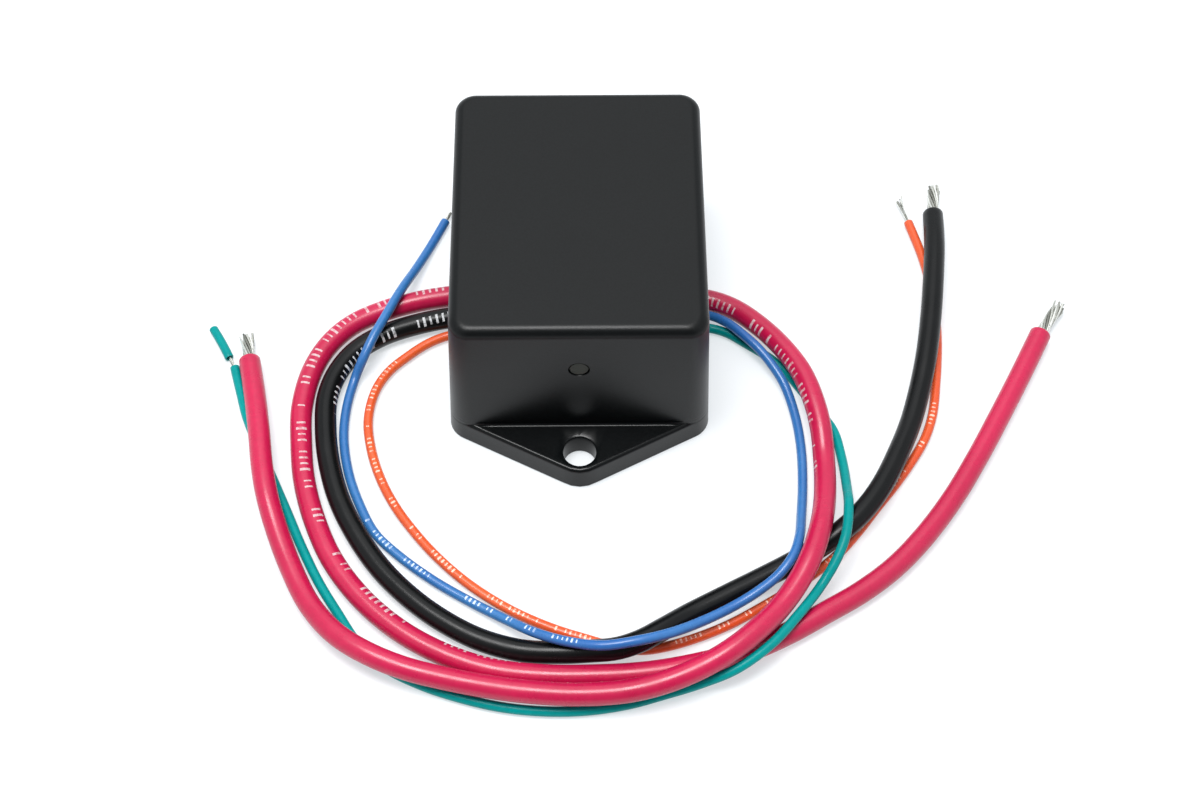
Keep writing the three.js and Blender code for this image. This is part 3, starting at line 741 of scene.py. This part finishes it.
# Heights of the rings along the walls, between the roundings
WALL_RINGS = (12.0, 20.0, 28.0)
# Step at the top of the cavity, and the small bevel at its mouth
CAVITY_STEP, MOUTH_BEVEL = 0.8, 0.2
CAVITY_RINGS = (12.0, 0.25)


def box_outline(inset):
    """Points round the rounded rectangle, counter-clockwise from the front left corner."""
    hx, hy = BOX_X / 2 - inset, BOX_Y / 2 - inset
    r = max(CORNER_R - inset * 0.6, 0.6)
    pts = []

    def arc(cx, cy, a0):
        for k in range(CORNER_STEPS):
            a = a0 + (math.pi / 2) * k / (CORNER_STEPS - 1)
            pts.append(Vector((cx + r * math.cos(a), cy + r * math.sin(a), 0)))

    def edge(x0, y0, x1, y1):
        for k in range(1, EDGE_STEPS):
            w = k / EDGE_STEPS
            pts.append(Vector((x0 + (x1 - x0) * w, y0 + (y1 - y0) * w, 0)))

    arc(-hx + r, -hy + r, math.pi)
    edge(-hx + r, -hy, hx - r, -hy)
    arc(hx - r, -hy + r, -math.pi / 2)
    edge(hx, -hy + r, hx, hy - r)
    arc(hx - r, hy - r, 0)
    edge(hx - r, hy, -hx + r, hy)
    arc(-hx + r, hy - r, math.pi / 2)
    edge(-hx, hy - r, -hx, -hy + r)
    return pts


def ear_y(x, shrink):
    """Distance of the ear's edge from the centre line y=0, at this x."""
    cx, cy = BOX_X / 2 - CORNER_R, BOX_Y / 2 - CORNER_R
    tip = BOX_Y / 2 + EAR_REACH - EAR_TIP_R
    r1, r2 = CORNER_R - shrink, EAR_TIP_R - shrink
    span = math.hypot(cx, tip - cy)
    # outward normal of the slanted side, then its two tangent points
    normal = math.atan2(tip - cy, cx) + math.asin((r2 - r1) / span)
    nx, ny = math.sin(normal), math.cos(normal)
    t1 = (cx + r1 * nx, cy + r1 * ny)
    t2 = (r2 * nx, tip + r2 * ny)
    ax = abs(x)
    if ax <= t2[0]:
        return tip + math.sqrt(max(r2 * r2 - ax * ax, 0))
    if ax <= t1[0]:
        w = (ax - t2[0]) / (t1[0] - t2[0])
        return t2[1] + (t1[1] - t2[1]) * w
    dx = min(ax - cx, r1)
    return cy + math.sqrt(max(r1 * r1 - dx * dx, 0))


def ring_points(inset, z, ear):
    """Outline at height z. ear is the inset of the ears' outline, or None for the box alone."""
    pts = []
    for p in box_outline(inset):
        q = p.copy()
        if ear is not None:
            reach = ear_y(q.x, ear)
            if reach > abs(q.y) and abs(q.y) > BOX_Y / 2 - CORNER_R - EAR_START:
                q.y = math.copysign(reach, q.y)
        q.z = z
        pts.append(q)
    return pts


def between(a, b, offset):
    """Points level with ring a, moved towards ring b by at most offset."""
    out = []
    for p, q in zip(a, b):
        d = q - p
        flat = Vector((d.x, d.y, 0))
        gap = flat.length
        out.append(p + flat * (min(offset, gap * 0.5) / gap) if gap > 1e-6 else p.copy())
    return out


def quarter_turn(steps):
    """Angles from just past 0 to a quarter turn."""
    return [k / steps * math.pi / 2 for k in range(1, steps + 1)]


def shell_rings():
    """Outline rings from the floor to the top face.

    A ring lies close beside each rounding, so that the flat faces shade as flat."""
    d = DRAFT
    # bottom edge
    rings = [ring_points(0.3, 0.0, 0.3), ring_points(0.08, 0.08, 0.08),
             ring_points(0.0, 0.3, 0.0), ring_points(d * 0.5, 0.5, d * 0.5)]
    # side and top edge of the ears
    z0 = EAR_T - EAR_EDGE_R
    for z in (z0 - SUPPORT, z0):
        rings.append(ring_points(d * z, z, d * z))
    for a in quarter_turn(ROUND_STEPS):
        z = z0 + EAR_EDGE_R * math.sin(a)
        rings.append(ring_points(d * z, z, d * z + EAR_EDGE_R * (1 - math.cos(a))))
    # top face of the ears, in to their root
    wall_low = ring_points(d * EAR_T, EAR_T, None)
    ear_top = rings[-1]
    rings.append(between(ear_top, wall_low, SUPPORT))
    rings.append(between(wall_low, ear_top, EAR_ROOT_R + SUPPORT))
    rings.append(between(wall_low, ear_top, EAR_ROOT_R))
    for a in quarter_turn(ROUND_STEPS):
        z = EAR_T + EAR_ROOT_R * (1 - math.cos(a))
        level = [Vector((e.x, e.y, z)) for e in ear_top]
        rings.append(between(ring_points(d * z, z, None), level, EAR_ROOT_R * (1 - math.sin(a))))
    # walls and top edge
    shoulder = BOX_H - TOP_RISE
    for z in (EAR_T + EAR_ROOT_R + SUPPORT, *WALL_RINGS, shoulder - SUPPORT, shoulder):
        rings.append(ring_points(d * z, z, None))
    for a in quarter_turn(TOP_STEPS):
        z = shoulder + TOP_RISE * math.sin(a)
        rings.append(ring_points(d * shoulder + TOP_R * (1 - math.cos(a)), z, None))
    rings.append(ring_points(d * shoulder + TOP_R + SUPPORT, BOX_H, None))
    return rings


def inner_rings():
    """Outline rings of the cavity, from its ceiling down to its open mouth."""
    ceiling = BOX_H - WALL
    out = []
    for z in (ceiling, ceiling - CAVITY_STEP, *CAVITY_RINGS, 0.0):
        inset = WALL + DRAFT * z
        inset += CAVITY_STEP if z == ceiling else 0.0
        inset -= MOUTH_BEVEL if z == 0.0 else 0
        out.append([Vector((p.x, p.y, z)) for p in box_outline(inset)])
    return out


def join_rows(bm, a, b):
    """Faces between two closed rows of the same number of points."""
    n = len(a)
    for k in range(n):
        j = (k + 1) % n
        bm.faces.new((a[k], a[j], b[j], b[k]))


def loop_rows(bm, rings):
    """Rows of points in metres, one for each ring, with faces between them."""
    rows = [[bm.verts.new(p * MM) for p in ring] for ring in rings]
    for a, b in zip(rows, rows[1:]):
        join_rows(bm, a, b)
    return rows


def lathe_cutter(name, profile, sides):
    """profile: (radius, z) in mm from one end on the axis to the other."""
    bm = bmesh.new()
    rows = []
    for r, z in profile[1:-1]:
        row = []
        for k in range(sides):
            a = 2 * math.pi * k / sides
            row.append(bm.verts.new((r * math.cos(a) * MM, r * math.sin(a) * MM, z * MM)))
        rows.append(row)
    low = bm.verts.new((0, 0, profile[0][1] * MM))
    high = bm.verts.new((0, 0, profile[-1][1] * MM))
    for a, b in zip(rows, rows[1:]):
        join_rows(bm, a, b)
    for k in range(sides):
        j = (k + 1) % sides
        bm.faces.new((low, rows[0][j], rows[0][k]))
        bm.faces.new((high, rows[-1][k], rows[-1][j]))
    return new_object(name, bm, 0)


# A slot cutter runs out from this x to this x, and starts this far under the floor
SLOT_FROM, SLOT_TO, SLOT_UNDER = 21.0, 30.0, -2.0
SLOT_STEPS = 6


def slot_cutter(name, side, span):
    """Cuts a lead exit in one side wall's rim. side is -1 or 1, and span its ends in y."""
    bm = bmesh.new()
    y0, y1 = span
    r = SLOT_CORNER_R
    pts = [(y0, SLOT_UNDER), (y1, SLOT_UNDER)]
    for centre, a0 in ((y1 - r, 0.0), (y0 + r, math.pi / 2)):
        for k in range(SLOT_STEPS + 1):
            a = a0 + k / SLOT_STEPS * math.pi / 2
            pts.append((centre + r * math.cos(a), SLOT_H - r + r * math.sin(a)))
    rows = []
    for x in (side * SLOT_FROM, side * SLOT_TO):
        rows.append([bm.verts.new((x * MM, y * MM, z * MM)) for y, z in pts])
    join_rows(bm, rows[0], rows[1])
    bm.faces.new(rows[0])
    bm.faces.new(list(reversed(rows[1])))
    return new_object(name, bm, 0)


def cut(o, cutters):
    """Takes the cutters out of o and removes them."""
    for c in cutters:
        mod = o.modifiers.new("cut", "BOOLEAN")
        mod.operation = "DIFFERENCE"
        mod.solver = "EXACT"
        mod.object = c
    bpy.context.view_layer.update()
    deps = bpy.context.evaluated_depsgraph_get()
    mesh = bpy.data.meshes.new_from_object(o.evaluated_get(deps))
    o.modifiers.clear()
    old = o.data
    o.data = mesh
    bpy.data.meshes.remove(old)
    for c in cutters:
        data = c.data
        bpy.data.objects.remove(c)
        bpy.data.meshes.remove(data)


def hole_cutters():
    """Screw holes through the two ears, with the ends of each bore eased."""
    r = HOLE_D / 2
    wide = r + 0.35
    profile = [(0, -3), (r + 0.3, -3), (r + 0.3, 0.0), (r, 0.3), (r, EAR_T - 0.35),
               (r + 0.1, EAR_T - 0.12), (wide, EAR_T), (wide, EAR_T + 3), (0, EAR_T + 3)]
    cutters = []
    for side in (-1, 1):
        c = lathe_cutter("hole_cutter", profile, 64)
        c.location = (0, side * (BOX_Y / 2 + HOLE_OUT) * MM, 0)
        cutters.append(c)
    return cutters


def mark_cutter():
    """The shallow round gate mark in the front wall, with a deeper groove round it."""
    r = MARK_D / 2
    groove = 2.2 * MARK_DEPTH
    profile = [(0, -MARK_DEPTH), (r - 0.32, -MARK_DEPTH * 0.7), (r - 0.24, -groove),
               (r - 0.06, -groove), (r, -MARK_DEPTH), (r + 0.1, 0.05), (r + 0.1, 2), (0, 2)]
    c = lathe_cutter("mark_cutter", profile, 48)
    c.rotation_euler = (math.pi / 2 - math.atan(DRAFT), 0, 0)
    c.location = MARK_PLACE
    return c


def make_housing():
    bm = bmesh.new()
    outer = loop_rows(bm, shell_rings())
    inner = loop_rows(bm, inner_rings())
    bm.faces.new(outer[-1])
    bm.faces.new(list(reversed(inner[0])))
    join_rows(bm, inner[-1], outer[0])
    bmesh.ops.remove_doubles(bm, verts=bm.verts, dist=1e-8)
    o = new_object("housing_shell", bm, 0)
    cutters = [*hole_cutters(), mark_cutter()]
    cutters += [slot_cutter("slot_l", -1, SLOT_L), slot_cutter("slot_r", 1, SLOT_R)]
    cut(o, cutters)
    o.data.shade_smooth()
    o.data.set_sharp_from_angle(angle=math.radians(32))
    finish_piece(o, "case_plastic", "housing")


make_housing()


# ---------------------------------------------------------------- carried-over CAD nodes
def dress_cad():
    """Gives every CAD node that is shown as it is the material of its slot."""
    slots = {s["node"]: s["material_slot"] for s in frame["record"]["subparts"]}
    for node, o in frame["nodes"].items():
        m = MATS[slots[node]]
        if not o.material_slots:
            o.data.materials.append(m)
        for s in o.material_slots:
            s.material = m


dress_cad()


# ---------------------------------------------------------------- studio, in metres
FLOOR_HALF = 3.0
FLOOR_GREY = (0.42, 0.42, 0.425, 1)
# The paper also glows a little, as if lit evenly from all round
FLOOR_TINT, FLOOR_GLOW = (0.92, 0.97, 1.0, 1), 0.54
# The tent is bright, except round one direction, where it is open and darker
TENT_TINT = (0.93, 0.97, 1.0, 1)
OPENING = (0.05, -0.92, 0.4)
# Cosines of the angle from the opening where the tent starts to darken and is darkest
TENT_FADE = (0.6, 0.93)
TENT_BRIGHT, TENT_DARK = 0.86, 0.2
# Soft lamps: place, what they aim at, size and watts
LAMPS = {
    "top_box": ((-0.11, -0.04, 0.95), (-0.11, -0.04, 0), (0.48, 0.36), 9.0),
    "back_box": ((0, 0.55, 0.9), (0, 0, 0.04), (0.8, 0.8), 1.4),
}


def make_floor():
    bm = bmesh.new()
    h = FLOOR_HALF
    bm.faces.new([bm.verts.new(p) for p in ((-h, -h, 0), (h, -h, 0), (h, h, 0), (-h, h, 0))])
    floor = new_object("floor", bm, 0)
    m = Mat("floor_paper", FLOOR_GREY, rough=0.9, spec=0.1)
    m.vary(4, 0.01)
    m.set("Emission Color", FLOOR_TINT)
    m.set("Emission Strength", FLOOR_GLOW)
    floor.data.materials.append(m.m)


def make_world():
    """A white tent, open and darker on one side. It is fixed in the room."""
    world = bpy.data.worlds.new("tent")
    SCENE.world = world
    world.use_nodes = True
    tree = world.node_tree
    bg = tree.nodes["Background"]
    direction = tree.nodes.new("ShaderNodeTexCoord").outputs["Generated"]
    toward = tree.nodes.new("ShaderNodeVectorMath")
    toward.operation = "DOT_PRODUCT"
    tree.links.new(direction, toward.inputs[0])
    toward.inputs[1].default_value = Vector(OPENING).normalized()
    gap = tree.nodes.new("ShaderNodeMapRange")
    gap.interpolation_type = "SMOOTHSTEP"
    tree.links.new(toward.outputs["Value"], gap.inputs["Value"])
    gap.inputs["From Min"].default_value, gap.inputs["From Max"].default_value = TENT_FADE
    gap.inputs["To Min"].default_value = TENT_BRIGHT
    gap.inputs["To Max"].default_value = TENT_DARK
    tree.links.new(gap.outputs["Result"], bg.inputs["Strength"])
    bg.inputs["Color"].default_value = TENT_TINT


def make_lamp(name, at, aim, size, power):
    data = bpy.data.lights.new(name, "AREA")
    data.shape = "RECTANGLE"
    data.size, data.size_y = size
    data.energy = power
    o = bpy.data.objects.new(name, data)
    SCENE.collection.objects.link(o)
    o.location = at
    o.rotation_euler = (Vector(aim) - Vector(at)).to_track_quat("-Z", "Y").to_euler()


make_floor()
make_world()
for lamp, (at, aim, size, power) in LAMPS.items():
    make_lamp(lamp, at, aim, size, power)
SCENE.view_settings.view_transform = "Standard"
SCENE.view_settings.look = "None"
SCENE.view_settings.exposure = 0.0
